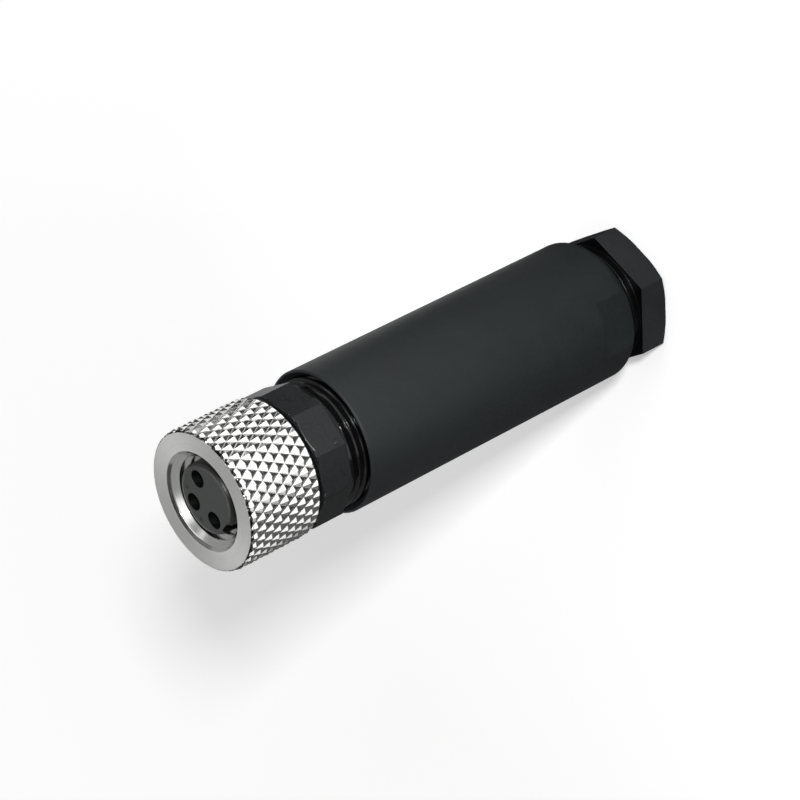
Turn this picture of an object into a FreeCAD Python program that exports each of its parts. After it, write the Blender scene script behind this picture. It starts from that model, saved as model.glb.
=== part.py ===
import FreeCAD, Part
import math
import os

import Sketcher
from FreeCAD import Placement, Rotation, Vector

# A female M8 cable connector with three sockets, for a cable that is fitted by hand.
# It stands on the flat end of its pressing nut, with the socket face up.
# +Z is the axis and the origin is the middle of the nut's end face.
# Lengths are in millimetres and angles in degrees, counted from +X towards +Y.

SIZES = [
    # Stack from the floor up
    ("nut_head_height", 2.8),
    ("neck_gap", 1.25),
    ("terminal_room", 1.26),
    ("mouth_gap", 1.69),
    ("grip_length", 2.96),
    ("ring_gap", 0.46),
    ("ring_length", 6.84),
    # Radii of the front end, from the contacts outwards, each a wall or gap past the one before
    ("socket_pitch_radius", 1.7),
    ("contact_diameter", 1.4),
    ("nose_wall", 0.55),
    ("mating_gap", 0.51),
    ("coupling_thread_depth", 0.54),
    ("ring_wall", 1.85),
    # Radii of the shell, from the terminals outwards, each a wall or gap past the one before
    ("terminal_offset", 0.75),
    ("terminal_diameter", 2.7),
    ("terminal_wall", 0.5),
    ("pilot_step", 0.25),
    ("shell_thread_depth", 0.45),
    ("thread_clearance", 0.05),
    ("front_thread_step", 0.35),
    ("sleeve_wall", 0.95),
    # Shell thread, between socket body, sleeve and pressing nut
    ("shell_thread_pitch", 0.75),
    ("shell_thread_opening", 0.62),
    # Pressing nut
    ("nut_flat_step", 0.8),
    ("nut_angle", 34.9),
    ("nut_face_step", 0.1),
    ("nut_chamfer_slope", 0.5),
    ("nut_shank_length", 6.2),
    ("nut_lead_in", 0.3),
    ("nut_thread_turns", 7),
    ("cable_bore", 5.5),
    ("cable_countersink", 0.35),
    ("nut_cone_depth", 1.0),
    ("nut_cone_length", 3.0),
    # Clamp cage and thrust washer
    ("cage_clearance", 0.1),
    ("cage_bore_step", 0.15),
    ("cage_flange_play", 0.05),
    ("cage_flange_height", 0.9),
    ("cage_finger_length", 2.4),
    ("cage_finger_count", 6),
    ("cage_slot_width", 0.6),
    ("stack_clearance", 0.05),
    ("washer_thickness", 0.4),
    ("washer_bore_step", 0.05),
    # Cable seal
    ("seal_bore_step", 0.75),
    ("seal_length", 3.4),
    ("seal_bevel", 0.85),
    ("seal_travel_room", 1.57),
    # Sleeve
    ("sleeve_rear_round", 0.9),
    ("sleeve_front_bevel", 0.12),
    ("sleeve_mouth_lip", 0.2),
    ("sleeve_mouth_depth", 0.45),
    ("front_thread_runout", 1.15),
    ("rear_thread_runout", 1.7),
    ("chamber_clearance", 0.1),
    ("seat_step", 0.03),
    ("seat_clearance", 0.02),
    ("seat_lip_step", 0.45),
    ("seat_lip_thickness", 1.0),
    ("wrench_flat_depth", 0.5),
    ("wrench_flat_length", 3.75),
    ("wrench_flat_angle", 16.5),
    # Socket body
    ("grip_sides", 10),
    ("grip_step", 0.125),
    ("grip_angle", 14.2),
    ("grip_bevel", 0.05),
    ("body_thread_length", 6.69),
    ("body_thread_shoulder", 0.67),
    ("body_thread_turns", 8),
    ("body_lead_in", 0.45),
    ("pilot_land", 1.35),
    ("seal_groove_depth", 0.85),
    ("seal_groove_width", 1.0),
    ("seal_groove_shoulder", 0.5),
    ("terminal_block_length", 7.7),
    ("insert_socket_depth", 2.0),
    ("insert_socket_clearance", 0.02),
    # Body seal ring
    ("body_seal_section", 0.86),
    ("body_seal_clearance", 0.03),
    # Contacts and terminal screws
    ("first_socket_angle", 122.0),
    ("socket_count", 3),
    ("socket_spacing", 90.0),
    ("contact_bore", 1.02),
    ("contact_bore_depth", 5.0),
    ("contact_recess", 1.0),
    ("contact_lead_in", 0.075),
    ("contact_slot_width", 0.16),
    ("contact_slot_length", 3.6),
    ("contact_clearance", 0.025),
    ("terminal_length", 6.9),
    ("terminal_clearance", 0.05),
    ("wire_hole_diameter", 1.2),
    ("wire_hole_offset", 0.3),
    ("wire_hole_depth", 5.0),
    ("screw_diameter", 1.6),
    ("screw_length", 1.5),
    ("screw_height", 3.6),
    ("screw_travel", 0.7),
    ("screw_clearance", 0.02),
    ("screw_slot_width", 0.3),
    ("screw_slot_depth", 0.4),
    ("screw_well_diameter", 2.0),
    # Contact insert
    ("face_depth", 0.4),
    ("nose_round", 0.3),
    ("nose_round_inner", 0.09),
    ("insert_flange_step", 0.43),
    ("insert_flange_height", 1.0),
    ("insert_tail_step", 0.05),
    ("insert_float", 0.2),
    ("key_width", 1.2),
    ("key_depth", 0.4),
    ("key_length", 3.5),
    ("key_angle", -34.0),
    ("nose_seal_section", 0.6),
    # Coupling ring
    ("ring_face_step", 0.2),
    ("ring_rear_step", 0.15),
    ("knurl_columns", 40),
    ("knurl_half_pitch", 0.79),
    ("knurl_depth", 0.19),
    ("knurl_first_peak", 0.55),
    ("knurl_angle", 30.0),
    ("ring_lip_clearance", 0.1),
    ("ring_lip_thickness", 0.44),
    ("ring_chamber_depth", 0.19),
    ("ring_chamber_height", 2.2),
    ("ring_mouth_step", 0.13),
    ("coupling_thread_pitch", 1.0),
    ("coupling_thread_opening", 0.86),
    ("coupling_thread_start", 0.3),
    ("coupling_thread_turns", 4),
]

document = FreeCAD.newDocument("female_circular_connector")
sheet = document.addObject("Spreadsheet::Sheet", "Sizes")
for row, (alias, amount) in enumerate(SIZES, start=1):
    sheet.set(f"A{row}", alias)
    sheet.set(f"B{row}", str(amount))
    sheet.setAlias(f"B{row}", alias)
document.recompute()


def number(text):
    """The value of an expression over the sheet's aliases."""
    result = sheet.evalExpression(text)
    return float(getattr(result, "Value", result))


def radius(alias):
    """The expression for half of a diameter or width."""
    return f"Sizes.{alias} / 2"


def plus(*parts):
    """The expression for a sum."""
    return " + ".join(f"({part})" for part in parts)


def minus(first, *parts):
    """The expression for a first value less the others."""
    return f"({first})" + "".join(f" - ({part})" for part in parts)


# Heights above the floor, radii and angles that several pieces share
sleeve_rear = plus("Sizes.nut_head_height", "Sizes.neck_gap")
shank_top = plus("Sizes.nut_head_height", "Sizes.nut_shank_length")
cage_bottom = plus(shank_top, "Sizes.stack_clearance")
cage_top = plus(cage_bottom, "Sizes.cage_flange_height")
washer_bottom = plus(cage_top, "Sizes.stack_clearance")
washer_top = plus(washer_bottom, "Sizes.washer_thickness")
seal_bottom = plus(washer_top, "Sizes.seal_travel_room")
seal_top = plus(seal_bottom, "Sizes.seal_length")
lip_bottom = plus(seal_top, "Sizes.seat_clearance")
lip_top = plus(lip_bottom, "Sizes.seat_lip_thickness")
block_bottom = plus(lip_top, "Sizes.terminal_room")
block_top = plus(block_bottom, "Sizes.terminal_block_length")
groove_bottom = plus(block_top, "Sizes.seal_groove_shoulder")
groove_top = plus(groove_bottom, "Sizes.seal_groove_width")
pilot_top = plus(groove_top, "Sizes.pilot_land")
body_thread_end = plus(pilot_top, "Sizes.body_lead_in")
grip_rear = plus(body_thread_end, "Sizes.body_thread_length")
grip_front = plus(grip_rear, "Sizes.grip_length")
sleeve_front = minus(grip_rear, "Sizes.mouth_gap")
ring_rear = plus(grip_front, "Sizes.ring_gap")
ring_front = plus(ring_rear, "Sizes.ring_length")
tail_bottom = minus(grip_front, "Sizes.insert_socket_depth")
lip_inside = plus(ring_rear, "Sizes.ring_lip_thickness")
flange_bottom = plus(lip_inside, "Sizes.insert_float")
flange_top = plus(flange_bottom, "Sizes.insert_flange_height")
insert_face = minus(ring_front, "Sizes.face_depth")
contact_top = minus(insert_face, "Sizes.contact_recess")
terminal_bottom = minus(block_top, "Sizes.terminal_length")
screw_level = plus(terminal_bottom, "Sizes.screw_height")
chamber_top = plus(lip_inside, "Sizes.ring_chamber_height")
socket_sweep = "Sizes.socket_spacing * (Sizes.socket_count - 1)"
contact_reach = plus("Sizes.socket_pitch_radius", radius("contact_diameter"))
nose_outside = plus(contact_reach, "Sizes.nose_wall")
tail_outside = plus(nose_outside, "Sizes.insert_tail_step")
flange_outside = plus(nose_outside, "Sizes.insert_flange_step")
coupling_crest = plus(nose_outside, "Sizes.mating_gap")
coupling_root = plus(coupling_crest, "Sizes.coupling_thread_depth")
ring_peak = plus(coupling_root, "Sizes.ring_wall")
terminal_middle = plus("Sizes.socket_pitch_radius", "Sizes.terminal_offset")
block_outside = plus(terminal_middle, radius("terminal_diameter"), "Sizes.terminal_wall")
thread_root = plus(block_outside, "Sizes.pilot_step")
thread_crest = plus(thread_root, "Sizes.shell_thread_depth")
thread_bore = plus(thread_crest, "Sizes.thread_clearance")
front_root = plus(thread_root, "Sizes.front_thread_step")
front_crest = plus(thread_crest, "Sizes.front_thread_step")
front_bore = plus(thread_bore, "Sizes.front_thread_step")
sleeve_outside = plus(thread_bore, "Sizes.sleeve_wall")
groove_wall = minus(thread_root, "Sizes.seal_groove_depth")
chamber_wall = plus(thread_root, "Sizes.chamber_clearance")
seat_wall = minus(chamber_wall, "Sizes.seat_step")
seal_outside = minus(seat_wall, "Sizes.seat_clearance")
cage_outside = minus(thread_root, "Sizes.cage_flange_play")
grip_flat = plus(front_crest, "Sizes.grip_step")
nut_flat = minus(sleeve_outside, "Sizes.nut_flat_step")
nut_face = plus(nut_flat, "Sizes.nut_face_step")
cone_mouth = plus(radius("cable_bore"), "Sizes.nut_cone_depth")
cage_bore = minus(radius("cable_bore"), "Sizes.cage_bore_step")
washer_bore = minus(radius("cable_bore"), "Sizes.washer_bore_step")
seal_bore = minus(radius("cable_bore"), "Sizes.seal_bore_step")
seat_lip = plus(radius("cable_bore"), "Sizes.seat_lip_step")
contact_wall = plus(radius("contact_diameter"), "Sizes.contact_clearance")


def new_body(label):
    """An empty body whose label names its file."""
    body = document.addObject("PartDesign::Body", label)
    body.Label = label
    return body


def origin_item(body, role):
    """One of a body's own origin planes or axes."""
    return next(item for item in body.Origin.OriginFeatures if item.Role == role)


def new_sketch(body, name, role, height=None, turn=None):
    """A sketch on an origin plane, moved along its normal and turned about it."""
    sketch = body.newObject("Sketcher::SketchObject", name)
    sketch.AttachmentSupport = (origin_item(body, role), [""])
    sketch.MapMode = "FlatFace"
    if height is not None:
        sketch.setExpression("AttachmentOffset.Base.z", height)
    if turn is not None:
        sketch.AttachmentOffset = Placement(Vector(0, 0, 0), Rotation(Vector(0, 0, 1), 1.0))
        sketch.setExpression("AttachmentOffset.Rotation.Angle", turn)
    return sketch


def outline(sketch, corners):
    """A closed outline of straight lines, with each corner held by two named distances."""
    places = [Vector(number(across), number(along), 0) for across, along in corners]
    count = len(places)
    sides = [Part.LineSegment(places[i], places[(i + 1) % count]) for i in range(count)]
    sketch.addGeometry(sides)
    joins = [Sketcher.Constraint("Coincident", i, 2, (i + 1) % count, 1) for i in range(count)]
    sketch.addConstraint(joins)
    held = []
    for index, place in enumerate(places):
        held.append(Sketcher.Constraint("DistanceX", -1, 1, index, 1, place.x))
        held.append(Sketcher.Constraint("DistanceY", -1, 1, index, 1, place.y))
    first = sketch.addConstraint(held)[0]
    for index, (across, along) in enumerate(corners):
        for step, letter, text in ((0, "across", across), (1, "along", along)):
            sketch.renameConstraint(first + 2 * index + step, f"{letter}_{index}")
            sketch.setExpression(f"Constraints.{letter}_{index}", text)


def circle(sketch, across, along, size):
    """A circle held by its centre and its radius."""
    centre = Vector(number(across), number(along), 0)
    index = sketch.addGeometry(Part.Circle(centre, Vector(0, 0, 1), number(size)))
    held = [
        ("DistanceX", (-1, 1, index, 3), centre.x, "across", across),
        ("DistanceY", (-1, 1, index, 3), centre.y, "along", along),
        ("Radius", (index,), number(size), "radius", size),
    ]
    for kind, points, amount, name, text in held:
        place = sketch.addConstraint(Sketcher.Constraint(kind, *points, amount))
        sketch.renameConstraint(place, name)
        sketch.setExpression(f"Constraints.{name}", text)


def turned(body, corners, name="turned"):
    """A solid turned about Z from an outline of radii and heights."""
    sketch = new_sketch(body, f"{name}_outline", "XZ_Plane")
    outline(sketch, corners)
    feature = body.newObject("PartDesign::Revolution", name)
    feature.Profile = sketch
    feature.ReferenceAxis = (sketch, ["V_Axis"])
    feature.Angle = 360.0
    document.recompute()
    return feature


def turned_cut(body, corners, name):
    """A cut turned about Z, such as a groove or a chamfer."""
    sketch = new_sketch(body, f"{name}_outline", "XZ_Plane")
    outline(sketch, corners)
    feature = body.newObject("PartDesign::Groove", name)
    feature.Profile = sketch
    feature.ReferenceAxis = (sketch, ["V_Axis"])
    feature.Angle = 360.0
    document.recompute()
    return feature


def raised(body, sketch, name, depth):
    """A pad of a sketch, along the sketch's normal."""
    feature = body.newObject("PartDesign::Pad", name)
    feature.Profile = sketch
    feature.setExpression("Length", depth)
    document.recompute()
    return feature


def cut(body, sketch, name, depth, reverse=True):
    """A pocket that goes along the sketch's normal, or against it."""
    before = body.Shape.Volume
    feature = body.newObject("PartDesign::Pocket", name)
    feature.Profile = sketch
    feature.Reversed = reverse
    feature.setExpression("Length", depth)
    document.recompute()
    if body.Shape.Volume >= before:
        raise ValueError(f"{body.Label}: {name} cuts nothing")
    return feature


def around(body, features, name, count, angle="360"):
    """Copies of features about Z. A part turn ends on its last copy."""
    pattern = body.newObject("PartDesign::PolarPattern", name)
    pattern.Originals = features
    pattern.Axis = (origin_item(body, "Z_Axis"), [""])
    pattern.setExpression("Angle", angle)
    pattern.setExpression("Occurrences", count)
    body.Tip = pattern
    document.recompute()
    return pattern


def thread_rings(body, first_height, wall, root, opening, pitch, turns, name):
    """Thread grooves, each a ring: the fine thread's flanks without its slight slope."""
    groove = turned_cut(
        body,
        [
            (wall, minus(first_height, f"{opening} / 2")),
            (root, first_height),
            (wall, plus(first_height, f"{opening} / 2")),
        ],
        name,
    )
    pattern = body.newObject("PartDesign::LinearPattern", f"{name}s")
    pattern.Originals = [groove]
    pattern.Direction = (groove.Profile[0], ["V_Axis"])
    pattern.Reversed = True
    pattern.setExpression("Length", f"{pitch} * ({turns} - 1)")
    pattern.setExpression("Occurrences", turns)
    body.Tip = pattern
    document.recompute()
    return pattern


def regular_outline(sketch, sides, flat):
    """A regular polygon from the distance of its flats, with the first facing the sketch's own X."""
    corner = f"({flat}) / cos(180 / {sides})"
    corners = []
    for index in range(sides):
        angle = f"({index} + 0.5) * 360 / {sides}"
        corners.append((f"{corner} * cos({angle})", f"{corner} * sin({angle})"))
    outline(sketch, corners)


def pressing_nut():
    """Hexagon head with a threaded shank, a cable bore and a cone that closes the cage."""
    body = new_body("pressing_nut")
    head = new_sketch(body, "head_outline", "XY_Plane", turn="Sizes.nut_angle - 30")
    regular_outline(head, 6, nut_flat)
    raised(body, head, "head", "Sizes.nut_head_height")
    reach = f"2 * ({nut_flat})"
    slope = f"({minus(reach, nut_face)}) * Sizes.nut_chamfer_slope"
    turned_cut(body, [(nut_face, "0"), (reach, "0"), (reach, slope)], "head_chamfer")
    turned(
        body,
        [
            ("0", "Sizes.nut_head_height / 2"),
            (thread_crest, "Sizes.nut_head_height / 2"),
            (thread_crest, minus(shank_top, "Sizes.nut_lead_in")),
            (minus(thread_crest, "Sizes.nut_lead_in"), shank_top),
            ("0", shank_top),
        ],
        "shank",
    )
    thread_rings(
        body,
        minus(shank_top, "Sizes.shell_thread_pitch"),
        plus(thread_crest, "Sizes.thread_clearance"),
        thread_root,
        "Sizes.shell_thread_opening",
        "Sizes.shell_thread_pitch",
        "Sizes.nut_thread_turns",
        "shank_thread",
    )
    cone_bottom = minus(shank_top, "Sizes.nut_cone_length")
    turned_cut(
        body,
        [
            ("0", "0"),
            (plus(radius("cable_bore"), "Sizes.cable_countersink"), "0"),
            (radius("cable_bore"), "Sizes.cable_countersink"),
            (radius("cable_bore"), cone_bottom),
            (cone_mouth, shank_top),
            ("0", shank_top),
        ],
        "bore",
    )
    return body


def clamp_cage():
    """Plastic ring with fingers that the nut's cone presses onto the cable."""
    body = new_body("clamp_cage")
    root_radius = minus(cone_mouth, "Sizes.cage_clearance")
    taper = "Sizes.cage_finger_length * Sizes.nut_cone_depth / Sizes.nut_cone_length"
    tip_radius = minus(root_radius, taper)
    tip_height = minus(cage_bottom, "Sizes.cage_finger_length")
    turned(
        body,
        [
            (cage_bore, tip_height),
            (tip_radius, tip_height),
            (root_radius, cage_bottom),
            (cage_outside, cage_bottom),
            (cage_outside, cage_top),
            (cage_bore, cage_top),
        ],
    )
    slot = new_sketch(body, "slot_outline", "XY_Plane", height=tip_height)
    outline(
        slot,
        [
            (minus(cage_bore, "Sizes.cage_slot_width"), f"-({radius('cage_slot_width')})"),
            (cone_mouth, f"-({radius('cage_slot_width')})"),
            (cone_mouth, radius("cage_slot_width")),
            (minus(cage_bore, "Sizes.cage_slot_width"), radius("cage_slot_width")),
        ],
    )
    first = cut(body, slot, "slot", "Sizes.cage_finger_length")
    around(body, [first], "slots", "Sizes.cage_finger_count")
    return body


def thrust_washer():
    """Flat washer that keeps the turning cage off the seal."""
    body = new_body("thrust_washer")
    turned(
        body,
        [
            (washer_bore, washer_bottom),
            (cage_outside, washer_bottom),
            (cage_outside, washer_top),
            (washer_bore, washer_top),
        ],
    )
    return body


def cable_seal():
    """Rubber grommet round the cable, bevelled to sit in the sleeve's seat."""
    body = new_body("cable_seal")
    seat = minus(seat_lip, "Sizes.seat_clearance")
    turned(
        body,
        [
            (seal_bore, seal_bottom),
            (seal_outside, seal_bottom),
            (seal_outside, minus(seal_top, "Sizes.seal_bevel")),
            (seat, seal_top),
            (seal_bore, seal_top),
        ],
    )
    return body


def edges_at(shape, size, height):
    """The names of the circular edges with this radius at this height."""
    names = []
    for index, edge in enumerate(shape.Edges, start=1):
        centre = getattr(edge.Curve, "Center", None)
        if centre is None:
            continue
        if abs(edge.Curve.Radius - size) < 0.001 and abs(centre.z - height) < 0.001:
            names.append(f"Edge{index}")
    return names


def sleeve():
    """Long plain sleeve with a thread at each end, a seal seat and two wrench flats."""
    body = new_body("sleeve")
    mouth_bottom = minus(sleeve_front, "Sizes.sleeve_mouth_depth")
    thread_bottom = minus(body_thread_end, "Sizes.front_thread_runout")
    step = minus(front_bore, chamber_wall)
    rear_thread_top = plus(shank_top, "Sizes.rear_thread_runout")
    turned(
        body,
        [
            (thread_bore, sleeve_rear),
            (sleeve_outside, sleeve_rear),
            (sleeve_outside, minus(sleeve_front, "Sizes.sleeve_front_bevel")),
            (minus(sleeve_outside, "Sizes.sleeve_front_bevel"), sleeve_front),
            (minus(sleeve_outside, "Sizes.sleeve_mouth_lip"), sleeve_front),
            (front_bore, mouth_bottom),
            (front_bore, thread_bottom),
            (chamber_wall, minus(thread_bottom, step)),
            (chamber_wall, lip_top),
            (seat_lip, lip_top),
            (seat_lip, lip_bottom),
            (seat_wall, minus(lip_bottom, "Sizes.seal_bevel")),
            (seat_wall, plus(rear_thread_top, "Sizes.sleeve_front_bevel")),
            (thread_bore, rear_thread_top),
        ],
    )
    rounding = body.newObject("PartDesign::Fillet", "rear_round")
    solid = body.Tip if body.Tip != rounding else rounding.BaseFeature
    rounding.Base = (solid, edges_at(solid.Shape, number(sleeve_outside), number(sleeve_rear)))
    rounding.setExpression("Radius", "Sizes.sleeve_rear_round")
    document.recompute()
    flats = new_sketch(body, "flat_outline", "XY_Plane", height=sleeve_rear, turn="Sizes.wrench_flat_angle")
    flat = minus(sleeve_outside, "Sizes.wrench_flat_depth")
    reach = f"2 * ({sleeve_outside})"
    outline(
        flats,
        [
            (flat, f"-({reach})"),
            (reach, f"-({reach})"),
            (reach, reach),
            (flat, reach),
        ],
    )
    first = cut(body, flats, "wrench_flat", "Sizes.wrench_flat_length")
    around(body, [first], "wrench_flat_pair", "2")
    return body


def socket_body():
    """Ten-sided grip with an external thread, a seal groove and the block that holds the terminals."""
    body = new_body("socket_body")
    turned(
        body,
        [
            ("0", block_bottom),
            (block_outside, block_bottom),
            (block_outside, block_top),
            (thread_root, block_top),
            (thread_root, groove_bottom),
            (groove_wall, groove_bottom),
            (groove_wall, groove_top),
            (thread_root, groove_top),
            (thread_root, pilot_top),
            (front_crest, body_thread_end),
            (front_crest, grip_rear),
            ("0", grip_rear),
        ],
    )
    ring = "Sizes.grip_angle - Sizes.first_socket_angle"
    head = new_sketch(body, "grip_outline", "XY_Plane", height=grip_rear, turn=ring)
    regular_outline(head, round(number("Sizes.grip_sides")), grip_flat)
    raised(body, head, "grip", "Sizes.grip_length")
    edge = minus(grip_flat, "Sizes.grip_bevel")
    reach = "Sizes.grip_bevel * 4"
    turned_cut(
        body,
        [
            (edge, grip_front),
            (plus(edge, reach), grip_front),
            (plus(edge, reach), minus(grip_front, reach)),
        ],
        "grip_bevel",
    )
    thread_rings(
        body,
        minus(grip_rear, "Sizes.body_thread_shoulder"),
        front_bore,
        front_root,
        "Sizes.shell_thread_opening",
        "Sizes.shell_thread_pitch",
        "Sizes.body_thread_turns",
        "thread",
    )
    recess = new_sketch(body, "recess_outline", "XY_Plane", height=tail_bottom)
    circle(recess, "0", "0", plus(tail_outside, "Sizes.insert_socket_clearance"))
    cut(body, recess, "insert_recess", "Sizes.insert_socket_depth")
    hole = new_sketch(body, "contact_hole_outline", "XY_Plane", height=block_bottom)
    circle(hole, "Sizes.socket_pitch_radius", "0", contact_wall)
    contact_hole = cut(body, hole, "contact_hole", minus(tail_bottom, block_bottom))
    around(body, [contact_hole], "contact_holes", "Sizes.socket_count", socket_sweep)
    well = new_sketch(body, "terminal_hole_outline", "XY_Plane", height=block_bottom)
    circle(well, terminal_middle, "0", plus(radius("terminal_diameter"), "Sizes.terminal_clearance"))
    terminal_hole = cut(
        body,
        well,
        "terminal_hole",
        plus(minus(block_top, block_bottom), "Sizes.terminal_clearance"),
    )
    around(body, [terminal_hole], "terminal_holes", "Sizes.socket_count", socket_sweep)
    side = new_sketch(body, "screw_well_outline", "YZ_Plane", height=terminal_middle)
    circle(side, "0", screw_level, radius("screw_well_diameter"))
    screw_well = cut(body, side, "screw_well", block_outside)
    around(body, [screw_well], "screw_wells", "Sizes.socket_count", socket_sweep)
    body.Placement = Placement(Vector(0, 0, 0), Rotation(Vector(0, 0, 1), number("Sizes.first_socket_angle")))
    return body


def body_seal():
    """Rubber ring in the socket body's groove, sealing against the sleeve's bore."""
    ring = document.addObject("Part::Torus", "body_seal_ring")
    ring.Label = "body_seal_ring"
    middle = plus(
        groove_wall,
        radius("body_seal_section"),
        "Sizes.body_seal_clearance",
    )
    ring.setExpression("Radius1", middle)
    ring.setExpression("Radius2", radius("body_seal_section"))
    ring.setExpression("Placement.Base.z", f"({groove_top} + {groove_bottom}) / 2")
    document.recompute()
    return ring


def contact(index):
    """Turned socket contact with a screw terminal set outwards at its rear end."""
    body = new_body(f"socket_contact_{index}")
    outside = radius("contact_diameter")
    turned(
        body,
        [
            ("0", terminal_bottom),
            (outside, terminal_bottom),
            (outside, contact_top),
            (plus(radius("contact_bore"), "Sizes.contact_lead_in"), contact_top),
            (radius("contact_bore"), minus(contact_top, "Sizes.contact_lead_in")),
            (radius("contact_bore"), minus(contact_top, "Sizes.contact_bore_depth")),
            ("0", minus(contact_top, "Sizes.contact_bore_depth", radius("contact_bore"))),
        ],
    )
    terminal = new_sketch(body, "terminal_outline", "XY_Plane", height=terminal_bottom)
    circle(terminal, "Sizes.terminal_offset", "0", radius("terminal_diameter"))
    raised(body, terminal, "terminal", "Sizes.terminal_length")
    wire = new_sketch(body, "wire_hole_outline", "XY_Plane", height=terminal_bottom)
    circle(wire, "Sizes.wire_hole_offset", "0", radius("wire_hole_diameter"))
    cut(body, wire, "wire_hole", "Sizes.wire_hole_depth")
    deepest = minus(
        plus("Sizes.wire_hole_offset", radius("wire_hole_diameter")),
        "Sizes.screw_travel",
        "Sizes.screw_clearance",
    )
    tapped = new_sketch(body, "screw_hole_outline", "YZ_Plane", height=deepest)
    circle(tapped, "0", screw_level, plus(radius("screw_diameter"), "Sizes.screw_clearance"))
    cut(body, tapped, "screw_hole", "Sizes.terminal_diameter")
    slot = new_sketch(body, "slot_outline", "XZ_Plane", height=f"-({outside})")
    slot_bottom = minus(contact_top, "Sizes.contact_slot_length")
    outline(
        slot,
        [
            (f"-({radius('contact_slot_width')})", slot_bottom),
            (radius("contact_slot_width"), slot_bottom),
            (radius("contact_slot_width"), contact_top),
            (f"-({radius('contact_slot_width')})", contact_top),
        ],
    )
    cut(body, slot, "spring_slot", "Sizes.contact_diameter")
    angle = number(f"Sizes.first_socket_angle + {index - 1} * Sizes.socket_spacing")
    turn = Rotation(Vector(0, 0, 1), angle)
    body.Placement = Placement(turn.multVec(Vector(number("Sizes.socket_pitch_radius"), 0, 0)), turn)
    return body


def terminal_screw(index):
    """Headless slotted screw, backed out of the wire hole."""
    body = new_body(f"terminal_screw_{index}")
    profile = new_sketch(body, "screw_outline", "YZ_Plane")
    circle(profile, "0", "0", radius("screw_diameter"))
    raised(body, profile, "shank", "Sizes.screw_length")
    slot = new_sketch(body, "slot_outline", "XZ_Plane", height=f"-({radius('screw_diameter')})")
    outline(
        slot,
        [
            (minus("Sizes.screw_length", "Sizes.screw_slot_depth"), f"-({radius('screw_slot_width')})"),
            ("Sizes.screw_length", f"-({radius('screw_slot_width')})"),
            ("Sizes.screw_length", radius("screw_slot_width")),
            (minus("Sizes.screw_length", "Sizes.screw_slot_depth"), radius("screw_slot_width")),
        ],
    )
    cut(body, slot, "slot", "Sizes.screw_diameter")
    tip = number(
        "Sizes.socket_pitch_radius + Sizes.wire_hole_offset + Sizes.wire_hole_diameter / 2"
    ) + number("Sizes.screw_clearance")
    angle = number(f"Sizes.first_socket_angle + {index - 1} * Sizes.socket_spacing")
    turn = Rotation(Vector(0, 0, 1), angle)
    body.Placement = Placement(turn.multVec(Vector(tip, 0, number(screw_level))), turn)
    return body


def contact_insert():
    """Dark nose that guides the contacts, with a flange that the coupling ring turns behind."""
    body = new_body("contact_insert")
    turned(
        body,
        [
            ("0", tail_bottom),
            (tail_outside, tail_bottom),
            (tail_outside, flange_bottom),
            (flange_outside, flange_bottom),
            (flange_outside, flange_top),
            (nose_outside, flange_top),
            (nose_outside, minus(insert_face, "Sizes.nose_round")),
            (minus(nose_outside, "Sizes.nose_round_inner"), minus(insert_face, "Sizes.nose_round_inner")),
            (minus(nose_outside, "Sizes.nose_round"), insert_face),
            ("0", insert_face),
        ],
    )
    hole = new_sketch(body, "socket_hole_outline", "XY_Plane", height=tail_bottom)
    circle(hole, "Sizes.socket_pitch_radius", "0", contact_wall)
    first = cut(body, hole, "socket_hole", minus(insert_face, tail_bottom))
    around(body, [first], "socket_holes", "Sizes.socket_count", socket_sweep)
    key = new_sketch(
        body,
        "key_outline",
        "XY_Plane",
        height=minus(insert_face, "Sizes.key_length"),
        turn="Sizes.key_angle - Sizes.first_socket_angle",
    )
    outline(
        key,
        [
            (minus(nose_outside, "Sizes.key_depth"), f"-({radius('key_width')})"),
            (plus(nose_outside, "Sizes.key_depth"), f"-({radius('key_width')})"),
            (plus(nose_outside, "Sizes.key_depth"), radius("key_width")),
            (minus(nose_outside, "Sizes.key_depth"), radius("key_width")),
        ],
    )
    cut(body, key, "keyway", "Sizes.key_length")
    body.Placement = Placement(Vector(0, 0, 0), Rotation(Vector(0, 0, 1), number("Sizes.first_socket_angle")))
    return body


def nose_seal():
    """Rubber ring round the nose, on the flange, that the mating shell presses on."""
    ring = document.addObject("Part::Torus", "nose_seal_ring")
    ring.Label = "nose_seal_ring"
    ring.setExpression("Radius1", plus(nose_outside, radius("nose_seal_section")))
    ring.setExpression("Radius2", radius("nose_seal_section"))
    ring.setExpression("Placement.Base.z", plus(flange_top, radius("nose_seal_section")))
    document.recompute()
    return ring


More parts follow.
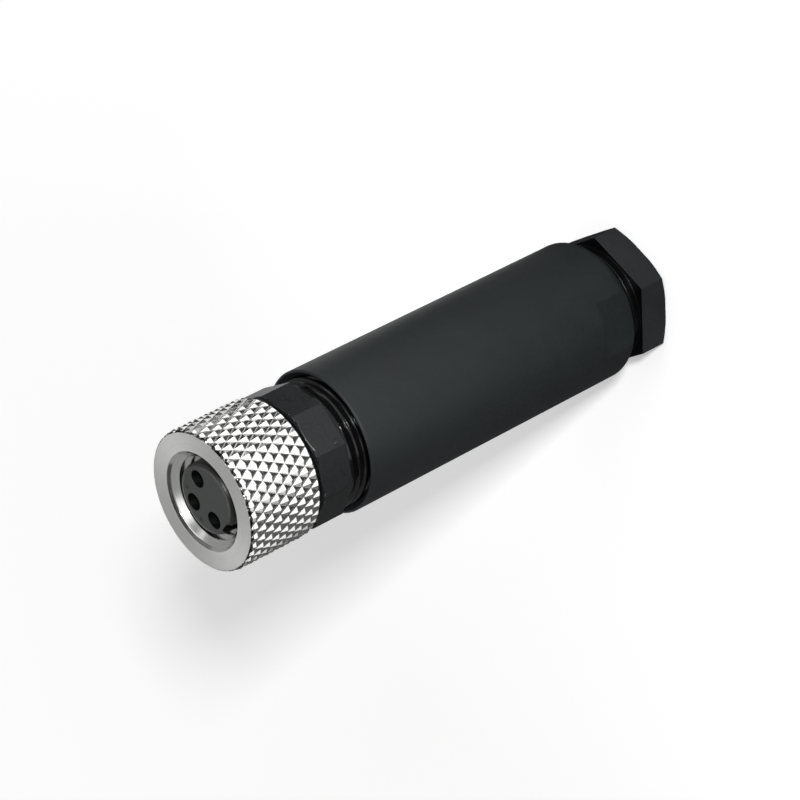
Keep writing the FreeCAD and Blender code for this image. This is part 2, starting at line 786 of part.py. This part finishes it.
def knurled_bar():
    """A bar covered in diamond pyramids: peaks and valley corners alternate on one grid."""
    columns = int(number("Sizes.knurl_columns")) * 2
    step = number("Sizes.knurl_half_pitch")
    peak = number(ring_peak)
    valley = peak - number("Sizes.knurl_depth")
    top = number(ring_front) - number("Sizes.knurl_first_peak") + step
    rows = math.ceil((number("Sizes.ring_length") - number("Sizes.knurl_first_peak")) / step) + 2
    start = number("Sizes.knurl_angle")

    def corner(row, column):
        """A grid corner: a peak where row and column are both odd or both even."""
        size = valley if (row + column) % 2 == 0 else peak
        angle = math.radians(start + column * 360.0 / columns)
        return Vector(size * math.cos(angle), size * math.sin(angle), top - row * step)

    faces = []
    for row in range(rows - 1):
        for column in range(columns):
            a = corner(row, column)
            b = corner(row, column + 1)
            c = corner(row + 1, column + 1)
            d = corner(row + 1, column)
            # The crease runs between the two valley corners of each cell
            if (row + column) % 2 == 0:
                halves = [(a, d, c), (a, c, b)]
            else:
                halves = [(a, d, b), (d, c, b)]
            for half in halves:
                faces.append(Part.Face(Part.makePolygon([*half, half[0]])))
    for row in (0, rows - 1):
        centre = Vector(0, 0, top - row * step)
        for column in range(columns):
            ends = [corner(row, column), corner(row, column + 1), centre]
            faces.append(Part.Face(Part.makePolygon([*ends, ends[0]])))
    shell = Part.Shell(faces)
    shell.sewShape()
    return Part.Solid(Part.Shell(shell.Faces))


def coupling_ring():
    """Knurled metal ring with the coupling thread, free to turn behind the insert's flange."""
    blank = new_body("coupling_ring_blank")
    face = minus(ring_peak, "Sizes.ring_face_step")
    rear = minus(ring_peak, "Sizes.ring_rear_step")
    lip = plus(tail_outside, "Sizes.ring_lip_clearance")
    mouth = plus(coupling_root, "Sizes.ring_mouth_step")
    chamber = plus(coupling_crest, "Sizes.ring_chamber_depth")
    reach = "Sizes.knurl_depth * 3"
    turned(
        blank,
        [
            (lip, ring_rear),
            (rear, ring_rear),
            (plus(rear, reach), plus(ring_rear, reach)),
            (plus(face, reach), minus(ring_front, reach)),
            (face, ring_front),
            (mouth, ring_front),
            (coupling_crest, minus(ring_front, minus(mouth, coupling_crest))),
            (coupling_crest, chamber_top),
            (chamber, chamber_top),
            (chamber, lip_inside),
            (lip, lip_inside),
        ],
    )
    thread_rings(
        blank,
        minus(ring_front, "Sizes.coupling_thread_start"),
        coupling_crest,
        coupling_root,
        "Sizes.coupling_thread_opening",
        "Sizes.coupling_thread_pitch",
        "Sizes.coupling_thread_turns",
        "thread",
    )
    bar = document.addObject("Part::Feature", "knurled_bar")
    bar.Shape = knurled_bar()
    ring = document.addObject("Part::Common", "coupling_ring")
    ring.Label = "coupling_ring"
    ring.Base = bar
    ring.Tool = blank
    document.recompute()
    return ring


pieces = [
    pressing_nut(),
    clamp_cage(),
    thrust_washer(),
    cable_seal(),
    sleeve(),
    body_seal(),
    socket_body(),
    contact_insert(),
    nose_seal(),
    coupling_ring(),
]
for place in range(1, round(number("Sizes.socket_count")) + 1):
    pieces.append(contact(place))
    pieces.append(terminal_screw(place))
document.recompute()

for item in document.Objects:
    if "Invalid" in item.State or "Error" in item.State:
        raise ValueError(f"{item.Label} failed: {item.State}")

os.makedirs("parts", exist_ok=True)
for piece in pieces:
    shape = piece.Shape
    if shape.isNull() or not shape.isValid() or len(shape.Solids) != 1:
        raise ValueError(f"{piece.Label} isn't one valid solid")
    shape.exportStep(f"parts/{piece.Label}.step")
    print(piece.Label, round(shape.Volume, 2), "mm3")
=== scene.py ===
import math

import bpy
from mathutils import Matrix, Vector


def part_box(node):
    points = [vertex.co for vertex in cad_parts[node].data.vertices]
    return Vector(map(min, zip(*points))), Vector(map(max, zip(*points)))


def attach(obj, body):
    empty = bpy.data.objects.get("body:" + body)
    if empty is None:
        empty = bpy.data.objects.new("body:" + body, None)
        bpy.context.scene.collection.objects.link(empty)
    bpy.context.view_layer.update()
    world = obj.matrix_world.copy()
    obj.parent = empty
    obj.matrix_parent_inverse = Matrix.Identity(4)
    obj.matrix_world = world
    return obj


# A female circular cable connector that stands on its pressing nut.
# Everything is in metres in the frame of the CAD model: +Z is the connector's axis.

MM = 0.001

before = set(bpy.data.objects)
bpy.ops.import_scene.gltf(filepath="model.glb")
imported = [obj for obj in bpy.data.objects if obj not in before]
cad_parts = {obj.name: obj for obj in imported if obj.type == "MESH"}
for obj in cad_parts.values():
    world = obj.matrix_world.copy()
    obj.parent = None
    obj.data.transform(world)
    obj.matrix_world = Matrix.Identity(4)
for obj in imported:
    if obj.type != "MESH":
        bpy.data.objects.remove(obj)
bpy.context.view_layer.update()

# Heights: the ring's face, the insert's face, just below the nut's neck side, the grip's rear side
RING_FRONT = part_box("coupling_ring")[1].z
INSERT_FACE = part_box("contact_insert")[1].z
NUT_NECK = 2.785 * MM
GRIP_REAR = 35.34 * MM

# Distances from the axis: somewhere between bore and knurl, and the edge of the ring's face
KNURL_INSIDE = 5.0 * MM
FACE_EDGE = 5.63 * MM

# Distances behind the ring's face: the end of its painted dark reflection band, and the start of the
# round ridges
PAINTED_REFLECTION_EDGE = 0.24 * MM
RIDGE_START = 0.25 * MM

# A height or depth that is more than a rounding error and less than any step of the shape
HAIR = 0.02 * MM


# Materials


class Nodes:
    """A material's node tree with short calls for the nodes that the finishes share."""

    def __init__(self, name):
        self.material = bpy.data.materials.new(name)
        self.material.use_nodes = True
        self.tree = self.material.node_tree
        self.shader = self.tree.nodes["Principled BSDF"]
        self.place = self.add("ShaderNodeTexCoord").outputs["Object"]

    def add(self, kind, **settings):
        node = self.tree.nodes.new(kind)
        for key, value in settings.items():
            setattr(node, key, value)
        return node

    def link(self, source, target):
        self.tree.links.new(source, target)

    def set(self, **sockets):
        """Constants on the shader's own sockets, with spaces written as underscores."""
        for name, value in sockets.items():
            self.shader.inputs[name.replace("_", " ")].default_value = value

    def stretched(self, x, y, z, source=None):
        """The place, scaled along each axis."""
        node = self.add("ShaderNodeMapping")
        node.inputs["Scale"].default_value = (x, y, z)
        self.link(source or self.place, node.inputs["Vector"])
        return node.outputs["Vector"]

    def noise(self, scale, detail=3.0, roughness=0.5, source=None):
        node = self.add("ShaderNodeTexNoise")
        node.inputs["Scale"].default_value = scale
        node.inputs["Detail"].default_value = detail
        node.inputs["Roughness"].default_value = roughness
        self.link(source or self.place, node.inputs["Vector"])
        return node.outputs["Fac"]

    def math(self, operation, first, second=0.0, clamp=False):
        node = self.add("ShaderNodeMath", operation=operation, use_clamp=clamp)
        for socket, value in zip(node.inputs, (first, second)):
            if isinstance(value, (int, float)):
                socket.default_value = value
            else:
                self.link(value, socket)
        return node.outputs["Value"]

    def spread(self, source, low, high):
        """A value from 0 to 1, spread from low to high."""
        node = self.add("ShaderNodeMapRange")
        node.inputs["To Min"].default_value = low
        node.inputs["To Max"].default_value = high
        self.link(source, node.inputs["Value"])
        return node.outputs["Result"]

    def blend_colours(self, factor, dark, light):
        node = self.add("ShaderNodeMix", data_type="RGBA")
        for socket, value in zip([s for s in node.inputs if s.type == "RGBA"], (dark, light)):
            socket.default_value = (*value, 1)
        self.link(factor, node.inputs["Factor"])
        return [s for s in node.outputs if s.type == "RGBA"][0]

    def choose(self, kind, factor, first, second):
        """The first value where the factor is 0, and the second where it is 1."""
        node = self.add("ShaderNodeMix", data_type=kind)
        types = {"FLOAT": "VALUE", "RGBA": "RGBA"}
        sockets = [s for s in node.inputs if s.type == types[kind] and s.name in "AB"]
        for socket, value in zip(sockets, (first, second)):
            if hasattr(value, "is_linked"):
                self.link(value, socket)
            else:
                socket.default_value = value
        self.link(factor, node.inputs["Factor"])
        return [s for s in node.outputs if s.type == types[kind]][0]

    def bump(self, height, distance, strength=1.0, normal=None):
        node = self.add("ShaderNodeBump")
        node.inputs["Distance"].default_value = distance
        node.inputs["Strength"].default_value = strength
        self.link(height, node.inputs["Height"])
        if normal is not None:
            self.link(normal, node.inputs["Normal"])
        return node.outputs["Normal"]

    def height(self):
        """Z of the place."""
        node = self.add("ShaderNodeSeparateXYZ")
        self.link(self.place, node.inputs["Vector"])
        return node.outputs["Z"]

    def distance(self):
        """How far the place is from the connector's axis."""
        node = self.add("ShaderNodeVectorMath", operation="LENGTH")
        self.link(self.stretched(1, 1, 0), node.inputs[0])
        return node.outputs["Value"]

    def soft_edges(self, radius, samples=6):
        node = self.add("ShaderNodeBevel", samples=samples)
        if isinstance(radius, float):
            node.inputs["Radius"].default_value = radius
        else:
            self.link(radius, node.inputs["Radius"])
        return node.outputs["Normal"]


# Painted shade: the threads behind the grip, the nut's neck and the wells below the insert's face are
# painted smooth black where shade falls. The table gives which side of which height, and how rough
SHADE_BLACK = (0.0015, 0.0015, 0.0016, 1)
PAINTED_SHADE = {
    "nut_plastic": ("GREATER_THAN", NUT_NECK, 0.30),
    "body_plastic": ("LESS_THAN", GRIP_REAR - HAIR, 0.16),
    "insert_plastic": ("LESS_THAN", INSERT_FACE - 0.05 * MM, 0.35),
}


def moulded(name, dark, light, roughness, gloss, grain, grain_depth, edge):
    """Moulded plastic: a fine grain, faint clouding, edges that are a little round, and painted black
    shade past a height for some pieces.
    """
    made = Nodes(name)
    cloud = made.spread(made.noise(220, 5, 0.65), -0.3, 1.3)
    colour = made.blend_colours(cloud, dark, light)
    rough = made.spread(made.noise(900, 2), roughness - 0.05, roughness + 0.05)
    # Painted shade: black and smoother past a height, where the piece lies in shade
    if name in PAINTED_SHADE:
        operation, limit, shade_roughness = PAINTED_SHADE[name]
        shaded = made.math(operation, made.height(), limit)
        colour = made.choose("RGBA", shaded, colour, SHADE_BLACK)
        rough = made.choose("FLOAT", shaded, rough, shade_roughness)
    made.link(colour, made.shader.inputs["Base Color"])
    made.link(rough, made.shader.inputs["Roughness"])
    normal = made.bump(made.noise(grain, 3, 0.6), grain_depth, normal=made.soft_edges(edge))
    made.link(normal, made.shader.inputs["Normal"])
    made.set(IOR=1.5, Specular_IOR_Level=gloss)
    return made.material


def plated_ring():
    """Bright nickel: clean knurl facets, a satin face with fine turning marks, and a painted dark
    reflection at the front edge.
    """
    made = Nodes("plated_ring")
    made.set(Metallic=1.0, Anisotropic=0.55)
    around = made.add("ShaderNodeTangent", direction_type="RADIAL", axis="Z")
    made.link(around.outputs["Tangent"], made.shader.inputs["Tangent"])
    cloud = made.noise(700, 3)
    height = made.height()
    distance = made.distance()
    bright = made.blend_colours(cloud, (0.72, 0.72, 0.71), (0.86, 0.86, 0.85))
    # Turning marks run round the axis, so their noise changes only with the distance from it
    joined = made.add("ShaderNodeCombineXYZ")
    made.link(distance, joined.inputs["X"])
    made.link(height, joined.inputs["Z"])
    marks = made.noise(13000, 3, source=joined.outputs["Vector"])
    turned = made.blend_colours(marks, (0.66, 0.66, 0.65), (0.86, 0.86, 0.85))
    inside = made.math("LESS_THAN", distance, FACE_EDGE)
    bright = made.choose("RGBA", inside, bright, turned)
    # Painted reflection: a dark, broken band where the knurl runs out at the front edge, standing in for
    # the dark surroundings that the chamfer mirrors
    painted_reflection_band = made.math("GREATER_THAN", height, RING_FRONT - PAINTED_REFLECTION_EDGE)
    painted_reflection_band = made.math("MULTIPLY", painted_reflection_band, made.math("GREATER_THAN", distance, FACE_EDGE))
    broken_reflection = made.math("GREATER_THAN", made.noise(2600, 2), 0.44)
    painted_reflection_band = made.math("MULTIPLY", painted_reflection_band, broken_reflection)
    colour = made.choose("RGBA", painted_reflection_band, bright, (0.03, 0.03, 0.03, 1))
    made.link(colour, made.shader.inputs["Base Color"])
    face = made.math("GREATER_THAN", height, RING_FRONT - HAIR)
    clean = made.spread(made.noise(1500, 3), 0.10, 0.24)
    satin = made.spread(made.noise(2500, 3), 0.30, 0.42)
    made.link(made.choose("FLOAT", face, clean, satin), made.shader.inputs["Roughness"])
    marks = made.math("MULTIPLY", made.math("MULTIPLY", marks, inside), 2.0)
    pits = made.math("MULTIPLY", made.noise(6000, 2), 0.5)
    # The knurl's ridges are round, while the chamfer and the bore keep sharper edges
    outside = made.math("GREATER_THAN", distance, KNURL_INSIDE)
    behind = made.math("LESS_THAN", height, RING_FRONT - RIDGE_START)
    knurl = made.math("MULTIPLY", outside, behind)
    round_edges = made.soft_edges(made.spread(knurl, 0.02 * MM, 0.12 * MM), 10)
    normal = made.bump(made.math("ADD", marks, pits), 0.002 * MM, normal=round_edges)
    made.link(normal, made.shader.inputs["Normal"])
    return made.material


def bare_metal(name, dark, light, roughness):
    """Small turned metal parts."""
    made = Nodes(name)
    made.set(Metallic=1.0)
    made.link(made.blend_colours(made.noise(900, 3), dark, light), made.shader.inputs["Base Color"])
    rough = made.spread(made.noise(3000, 2), roughness - 0.06, roughness + 0.06)
    made.link(rough, made.shader.inputs["Roughness"])
    made.link(made.bump(made.noise(9000, 2), 0.002 * MM), made.shader.inputs["Normal"])
    return made.material


# Name: darker and lighter colour, roughness, gloss, scale and depth of the grain, edge radius
PLASTICS = {
    "sleeve_plastic": ((0.0050, 0.0070, 0.0076), (0.0080, 0.0110, 0.0120), 0.55, 0.42, 5200, 0.014, 0.08),
    "nut_plastic": ((0.0120, 0.0130, 0.0142), (0.0195, 0.0210, 0.0225), 0.55, 0.20, 4200, 0.016, 0.15),
    "body_plastic": ((0.0050, 0.0058, 0.0062), (0.0085, 0.0095, 0.0100), 0.28, 0.45, 2500, 0.003, 0.10),
    "insert_plastic": ((0.0280, 0.0290, 0.0305), (0.0360, 0.0370, 0.0385), 0.40, 0.50, 4000, 0.003, 0.05),
    "cage_plastic": ((0.4000, 0.4000, 0.3800), (0.4800, 0.4800, 0.4600), 0.45, 0.50, 4000, 0.004, 0.05),
    "seal_rubber": ((0.0100, 0.0100, 0.0100), (0.0180, 0.0180, 0.0180), 0.70, 0.40, 5000, 0.006, 0.05),
}
made_plastics = {}
for name, (dark, light, roughness, gloss, grain, depth, edge) in PLASTICS.items():
    made_plastics[name] = moulded(name, dark, light, roughness, gloss, grain, depth * MM, edge * MM)
ring_metal = plated_ring()
contact_metal = bare_metal("contact_metal", (0.68, 0.64, 0.55), (0.82, 0.78, 0.68), 0.25)
screw_metal = bare_metal("screw_metal", (0.50, 0.51, 0.52), (0.62, 0.63, 0.64), 0.35)

FINISHES = {
    "pressing_nut": made_plastics["nut_plastic"],
    "clamp_cage": made_plastics["cage_plastic"],
    "thrust_washer": made_plastics["cage_plastic"],
    "cable_seal": made_plastics["seal_rubber"],
    "sleeve": made_plastics["sleeve_plastic"],
    "body_seal_ring": made_plastics["seal_rubber"],
    "socket_body": made_plastics["body_plastic"],
    "contact_insert": made_plastics["insert_plastic"],
    "nose_seal_ring": made_plastics["seal_rubber"],
    "coupling_ring": ring_metal,
}
for index in (1, 2, 3):
    FINISHES[f"socket_contact_{index}"] = contact_metal
    FINISHES[f"terminal_screw_{index}"] = screw_metal
for node, finish in FINISHES.items():
    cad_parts[node].data.materials.clear()
    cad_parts[node].data.materials.append(finish)


# Small moulded marks


def round_mark(name, body, place, outward, radius, thickness):
    """A raised ring on a surface: its place, the surface's direction and its size."""
    mesh = bpy.data.meshes.new(name)
    around = 28
    across = 8
    corners = []
    for turn in range(around):
        angle = math.tau * turn / around
        for step in range(across):
            tilt = math.tau * step / across
            reach = radius + thickness * math.cos(tilt)
            rise = 0.5 * thickness * math.sin(tilt)
            corners.append((reach * math.cos(angle), reach * math.sin(angle), rise))
    faces = []
    for turn in range(around):
        for step in range(across):
            ahead = (turn + 1) % around
            beside = (step + 1) % across
            faces.append(
                (
                    turn * across + step,
                    ahead * across + step,
                    ahead * across + beside,
                    turn * across + beside,
                )
            )
    mesh.from_pydata(corners, [], faces)
    for face in mesh.polygons:
        face.use_smooth = True
    mesh.materials.append(made_plastics["body_plastic"])
    mark = bpy.data.objects.new(name, mesh)
    lean = Vector(outward).to_track_quat("Z", "Y").to_matrix().to_4x4()
    mesh.transform(Matrix.Translation(place) @ lean)
    bpy.context.scene.collection.objects.link(mark)
    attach(mark, body)


# On the grip's face that looks 50.2 degrees round the axis, near the edge at 32.2 degrees
GRIP_FACE_TURN = 50.2
GRIP_FACE_REACH = 5.475 * MM
GRIP_MARK_ASIDE = 1.42 * MM
GRIP_MARK_HEIGHT = 35.95 * MM
grip_face = math.radians(GRIP_FACE_TURN)
outward = Vector((math.cos(grip_face), math.sin(grip_face), 0))
along = Vector((-math.sin(grip_face), math.cos(grip_face), 0))
place = outward * GRIP_FACE_REACH - along * GRIP_MARK_ASIDE + Vector((0, 0, GRIP_MARK_HEIGHT))
round_mark("grip_mark", "socket", place, outward, 0.28 * MM, 0.05 * MM)

# Beside the sockets on the insert's face: angles round the axis, and distance from it
POLE_MARK_TURNS = (177, 253)
POLE_MARK_REACH = 2.2 * MM
for index, turn in enumerate(POLE_MARK_TURNS, start=1):
    angle = math.radians(turn)
    place = Vector((POLE_MARK_REACH * math.cos(angle), POLE_MARK_REACH * math.sin(angle), INSERT_FACE))
    round_mark(f"pole_mark_{index}", "socket", place, (0, 0, 1), 0.11 * MM, 0.04 * MM)


# Floor, light and camera


# The floor's glow: the radius up to which it is even, its strength there, its greatest strength,
# and its rise a metre
EVEN_RADIUS = 0.06
GLOW_NEAR = 0.30
GLOW_FAR = 0.66
GLOW_RISE = 1.6

# Reflection cards: height of those on the floor, and radius of the dome of those in the sky
CARD_HEIGHT = 0.0001
SKY_RADIUS = 0.3

# Arc of the sky that the cone at the bore's mouth mirrors: its top, the middle and the bend
ARC_TOP = 58
ARC_MIDDLE = 38
ARC_BEND = 0.6

# The photograph's view: where the camera is, its right and up directions, and its lens
CAMERA_PLACE = Vector((157.878, 138.112, 173.410)) * MM
CAMERA_RIGHT = Vector((0.684617, 0.0, -0.728903))
CAMERA_UP = Vector((-0.391563, 0.843458, -0.367773))
CAMERA_LENS = 146.53
CAMERA_SENSOR = 36.0


def studio_floor():
    """White floor that keeps the connector's shadow."""
    mesh = bpy.data.meshes.new("studio_floor")
    half = 2.0
    corners = [(-half, -half, 0), (half, -half, 0), (half, half, 0), (-half, half, 0)]
    mesh.from_pydata(corners, [], [(0, 1, 2, 3)])
    floor = bpy.data.objects.new("studio_floor", mesh)
    bpy.context.scene.collection.objects.link(floor)
    made = Nodes("studio_floor")
    made.set(Base_Color=(0.92, 0.92, 0.92, 1), Roughness=0.9)
    white = made.add("ShaderNodeEmission")
    path = made.add("ShaderNodeLightPath")
    seen = made.math("MAXIMUM", path.outputs["Is Camera Ray"], path.outputs["Is Glossy Ray"])
    seen = made.math("MAXIMUM", seen, path.outputs["Is Transmission Ray"])
    # Far from the connector the lamps light the floor less, so it glows more there
    far = made.math("MAXIMUM", made.math("SUBTRACT", made.distance(), EVEN_RADIUS), 0.0)
    rise = made.math("ADD", made.math("MULTIPLY", far, GLOW_RISE), GLOW_NEAR)
    glow = made.math("MINIMUM", rise, GLOW_FAR)
    made.link(made.math("MULTIPLY", seen, glow), white.inputs["Strength"])
    both = made.add("ShaderNodeAddShader")
    made.link(made.shader.outputs[0], both.inputs[0])
    made.link(white.outputs[0], both.inputs[1])
    made.link(both.outputs[0], made.tree.nodes["Material Output"].inputs["Surface"])
    mesh.materials.append(made.material)


def reflection_card(name, mesh, strength):
    """A card that only reflections see: dark for contrast in the metal, or lit."""
    card = bpy.data.objects.new(name, mesh)
    bpy.context.scene.collection.objects.link(card)
    made = Nodes(name)
    made.set(Base_Color=(0.02, 0.02, 0.02, 1), Roughness=1.0)
    made.set(Emission_Color=(1, 1, 1, 1), Emission_Strength=strength)
    mesh.materials.append(made.material)
    for kind in ("camera", "diffuse", "shadow", "transmission"):
        setattr(card, f"visible_{kind}", False)


def polar_card(name, azimuths, edges, place, strength=0.0):
    """A card between two azimuths in degrees, and between two edges that place() puts in space."""
    steps = 32
    corners = []
    for step in range(steps + 1):
        azimuth = math.radians(azimuths[0] + (azimuths[1] - azimuths[0]) * step / steps)
        corners += [place(azimuth, edge) for edge in edges]
    faces = [(2 * step, 2 * step + 1, 2 * step + 3, 2 * step + 2) for step in range(steps)]
    mesh = bpy.data.meshes.new(name)
    mesh.from_pydata(corners, [], faces)
    reflection_card(name, mesh, strength)


def on_floor(azimuth, radius):
    """Just above the floor."""
    return (radius * math.cos(azimuth), radius * math.sin(azimuth), CARD_HEIGHT)


def in_sky(azimuth, elevation):
    """On the dome round the middle of the coupling ring's face."""
    elevation = math.radians(elevation)
    flat = SKY_RADIUS * math.cos(elevation)
    rise = SKY_RADIUS * math.sin(elevation)
    return (flat * math.cos(azimuth), flat * math.sin(azimuth), RING_FRONT + rise)


def on_arc(azimuth, above):
    """Above or below the arc of the sky that the cone at the bore's mouth mirrors to the camera."""
    arc = ARC_TOP * math.cos(ARC_BEND * (azimuth - math.radians(ARC_MIDDLE)))
    return in_sky(azimuth, arc + above)


def softbox(name, place, target, width, height, power):
    """An area light at a place, aimed at a target."""
    light = bpy.data.lights.new(name, "AREA")
    light.shape = "RECTANGLE"
    light.size = width
    light.size_y = height
    light.energy = power
    lamp = bpy.data.objects.new(name, light)
    lamp.location = place
    lamp.rotation_mode = "QUATERNION"
    lamp.rotation_quaternion = (Vector(target) - Vector(place)).to_track_quat("-Z", "Y")
    bpy.context.scene.collection.objects.link(lamp)


def photo_camera():
    """The photograph's view."""
    right = CAMERA_RIGHT.normalized()
    back = right.cross(CAMERA_UP.normalized()).normalized()
    up = back.cross(right)
    data = bpy.data.cameras.new("photo_camera")
    data.sensor_width = CAMERA_SENSOR
    data.lens = CAMERA_LENS
    data.clip_start = 0.01
    data.clip_end = 10.0
    camera = bpy.data.objects.new("photo_camera", data)
    turn = Matrix((right, up, back)).transposed().to_4x4()
    camera.matrix_world = Matrix.Translation(CAMERA_PLACE) @ turn
    bpy.context.scene.collection.objects.link(camera)
    bpy.context.scene.camera = camera


studio_floor()

# Azimuths in degrees, edges, how the edges are meant, and how bright the card is
polar_card("nut_floor_card", (-5, 170), (0.001, 0.0125), on_floor)
polar_card("shell_floor_card", (-5, 170), (0.0125, 0.027), on_floor, 0.22)
polar_card("near_floor_card", (-5, 170), (0.027, 0.043), on_floor)
polar_card("low_floor_card", (-165, -5), (0.001, 0.160), on_floor, 0.08)
polar_card("rear_floor_card", (112, 215), (0.091, 0.260), on_floor)
polar_card("grip_floor_card", (110, 155), (0.048, 0.082), on_floor, 0.05)
polar_card("side_floor_card", (20, 108), (0.050, 0.085), on_floor, 0.60)
polar_card("dark_sky_card", (-80, 155), (-13, 8), on_arc)
polar_card("lit_sky_card", (0, 360), (68, 89.9), in_sky, 1.5)
polar_card("left_sky_card", (130, 295), (50, 68), in_sky, 1.2)

# Lamps: place, target, width, height and power
middle = (0, 0, 0.025)
softbox("key_light", (0.03, 0.34, 0.09), middle, 0.30, 0.30, 0.42)
softbox("shadow_light", (0.249, 0.273, 0.240), middle, 0.04, 0.04, 1.60)
softbox("face_light", (-0.20, -0.10, 0.30), middle, 0.15, 0.15, 0.02)

world = bpy.data.worlds.new("studio")
world.use_nodes = True
world.node_tree.nodes["Background"].inputs["Color"].default_value = (1, 1, 1, 1)
world.node_tree.nodes["Background"].inputs["Strength"].default_value = 0.33
bpy.context.scene.world = world
bpy.context.scene.view_settings.view_transform = "Standard"
photo_camera()
